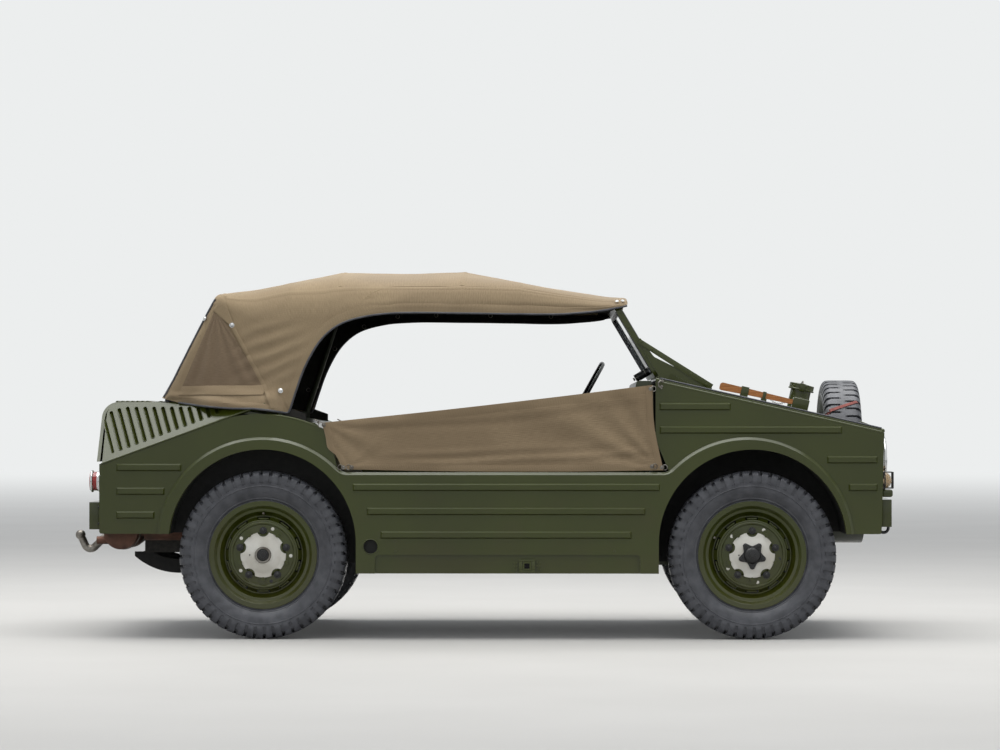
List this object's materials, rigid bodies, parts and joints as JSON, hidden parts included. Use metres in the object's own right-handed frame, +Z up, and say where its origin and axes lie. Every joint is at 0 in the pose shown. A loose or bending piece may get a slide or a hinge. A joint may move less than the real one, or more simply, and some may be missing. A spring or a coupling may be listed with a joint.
{
  "type": "army four-wheel-drive car",
  "caption": "Open-sided military off-road car with a canvas top, rear engine, steered front wheels, spare wheel in the hood and opening engine lid.",
  "frame": {"origin": "on the ground below the middle of the overall length and width", "axes": "+X forward, +Y to the car's left, +Z up"},
  "size_m": [3.54, 1.616, 1.571],
  "materials": {
    "body_paint": "satin, dark olive green",
    "chassis_black": "semi-gloss black",
    "engine_metal": "cast, dull",
    "exhaust_steel": "plain steel",
    "canvas": "woven canvas",
    "seat_cloth": "coated cloth",
    "screen_glass": "clear",
    "tyre_rubber": "matt rubber",
    "lamp_chrome": "polished",
    "marker_amber": "clear gloss",
    "tail_red": "clear gloss",
    "wheel_bakelite": "smooth, satin",
    "haft_wood": "oiled"
  },
  "bodies": {
    "car_body": {"axe_handle": "haft_wood", "axe_head": "body_paint", "bulkhead": "body_paint", "canopy": "canvas", "engine_block": "engine_metal", "engine_guard": "chassis_black", "floor_levers": "chassis_black", "floor_pan": "body_paint", "front_axle": "chassis_black", "front_bumper": "body_paint", "front_hood": "body_paint", "front_seats": "seat_cloth", "front_wheel_houses": "body_paint", "fuel_filler": "body_paint", "headlamps": "lamp_chrome", "louvre_panel_left": "body_paint", "louvre_panel_right": "body_paint", "marker_lamps": "marker_amber", "nose_panel": "body_paint", "prop_shaft": "chassis_black", "rear_axle": "chassis_black", "rear_bench": "seat_cloth", "rear_bulkhead": "body_paint", "rear_bumper": "body_paint", "rear_deck": "body_paint", "rear_wheel_houses": "body_paint", "side_curtains": "canvas", "side_panel_left": "body_paint", "side_panel_right": "body_paint", "silencer": "exhaust_steel", "spare_rim": "body_paint", "spare_tyre": "tyre_rubber", "spare_well": "body_paint", "steering_column": "chassis_black", "tail_lamps": "tail_red", "tail_panel": "body_paint", "top_bows": "chassis_black", "tow_hook": "chassis_black", "windscreen_frame": "body_paint", "windscreen_glass": "screen_glass", "windscreen_stays": "body_paint", "wipers": "chassis_black"},
    "steering_wheel_body": {"steering_wheel": "wheel_bakelite"},
    "track_rod_body": {"track_rod": "chassis_black"},
    "knuckle_right_body": {"knuckle_right": "chassis_black"},
    "knuckle_left_body": {"knuckle_left": "chassis_black"},
    "engine_lid_body": {"engine_lid": "body_paint"},
    "front_right_wheel": {"front_right_tyre": "tyre_rubber", "front_right_rim": "body_paint"},
    "front_left_wheel": {"front_left_tyre": "tyre_rubber", "front_left_rim": "body_paint"},
    "rear_right_wheel": {"rear_right_tyre": "tyre_rubber", "rear_right_rim": "body_paint"},
    "rear_left_wheel": {"rear_left_tyre": "tyre_rubber", "rear_left_rim": "body_paint"}
  },
  "joints": [
    {"name": "steering_turn", "type": "hinge", "parent": "car_body", "child": "steering_wheel_body", "pos_m": [0.47, 0.35, 1.008], "axis": [-0.8746, 0, 0.4848], "range_deg": [-450, 450]},
    {"name": "steer_right", "type": "hinge", "parent": "car_body", "child": "knuckle_right_body", "pos_m": [1.18, -0.635, 0.354], "axis": [0, 0, 1], "range_deg": [-28.1, 28.1]},
    {"name": "steer_left", "type": "hinge", "parent": "car_body", "child": "knuckle_left_body", "pos_m": [1.18, 0.635, 0.354], "axis": [0, 0, 1], "range_deg": [-28.1, 28.1]},
    {"name": "rod_slide", "type": "slide", "parent": "car_body", "child": "track_rod_body", "axis": [0, -1, 0], "range_m": [-0.059, 0.059]},
    {"name": "lid_hinge", "type": "hinge", "parent": "car_body", "child": "engine_lid_body", "pos_m": [-1.3208, 0, 0.99], "axis": [0, 1, 0], "range_deg": [0, 60]},
    {"name": "rear_right_spin", "type": "hinge", "parent": "car_body", "child": "rear_right_wheel", "pos_m": [-0.88, -0.69, 0.354], "axis": [0, 1, 0], "continuous": true},
    {"name": "rear_left_spin", "type": "hinge", "parent": "car_body", "child": "rear_left_wheel", "pos_m": [-0.88, 0.69, 0.354], "axis": [0, 1, 0], "continuous": true},
    {"name": "front_right_spin", "type": "hinge", "parent": "knuckle_right_body", "child": "front_right_wheel", "pos_m": [1.18, -0.69, 0.354], "axis": [0, 1, 0], "continuous": true},
    {"name": "front_left_spin", "type": "hinge", "parent": "knuckle_left_body", "child": "front_left_wheel", "pos_m": [1.18, 0.69, 0.354], "axis": [0, 1, 0], "continuous": true}
  ],
  "couplings": [
    {"joint": "steer_right", "follows": "steering_turn", "ratio": 0.062222},
    {"joint": "steer_left", "follows": "steering_turn", "ratio": 0.062222},
    {"joint": "rod_slide", "follows": "steering_turn", "m_per_rad": 0.0074666}
  ]
}
